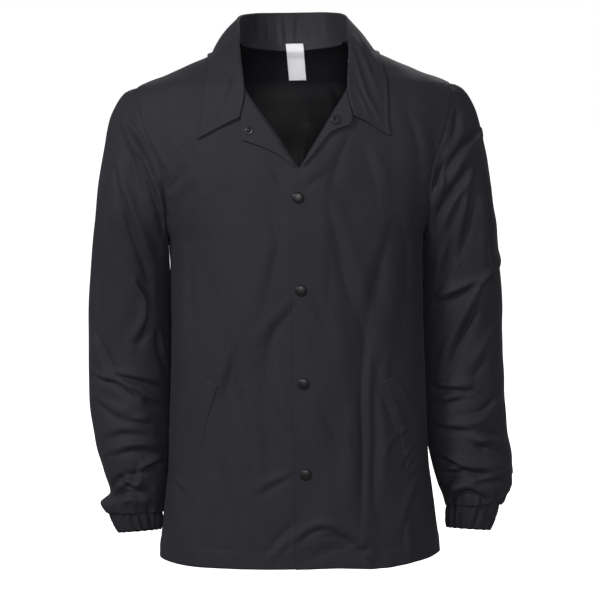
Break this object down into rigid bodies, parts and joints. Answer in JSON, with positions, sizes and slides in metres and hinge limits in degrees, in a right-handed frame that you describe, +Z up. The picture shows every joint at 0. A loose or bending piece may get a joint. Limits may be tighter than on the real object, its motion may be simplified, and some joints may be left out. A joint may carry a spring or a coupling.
{
  "type": "coach jacket",
  "caption": "Snap-front coach jacket in its worn, filled-out form with a turned-down collar, open lapels, slanted welt pockets and gathered cuffs; hollow and open at neck, hem and cuffs.",
  "frame": {"origin": "middle of the neck, at the height where the shoulder seams meet the collar, where the wearer's shoulders hold the jacket", "axes": "+X to the wearer's left, -Y to the front, +Z up along the body"},
  "size_m": [0.6078, 0.243, 0.7684],
  "materials": {
    "shell_nylon": "matte woven nylon, near black, with a faint sheen",
    "collar_nylon": "the same woven nylon in two plies, pressed and topstitched",
    "label_satin": "white woven label, bare",
    "snap_metal": "dark lacquered brass, satin"
  },
  "bodies": {
    "root": {"front_left": "shell_nylon", "front_right": "shell_nylon", "back": "shell_nylon", "sleeve_left": "shell_nylon", "sleeve_right": "shell_nylon", "cuff_left": "shell_nylon", "cuff_right": "shell_nylon", "collar": "collar_nylon", "lapel_left": "collar_nylon", "lapel_right": "collar_nylon", "welt_left": "shell_nylon", "welt_right": "shell_nylon", "neck_label": "label_satin", "snap_cap_1": "snap_metal", "snap_cap_2": "snap_metal", "snap_cap_3": "snap_metal", "snap_cap_4": "snap_metal", "snap_back_1": "snap_metal", "snap_back_2": "snap_metal", "snap_back_3": "snap_metal", "snap_back_4": "snap_metal", "snap_socket": "snap_metal", "snap_stud": "snap_metal"}
  },
  "joints": []
}
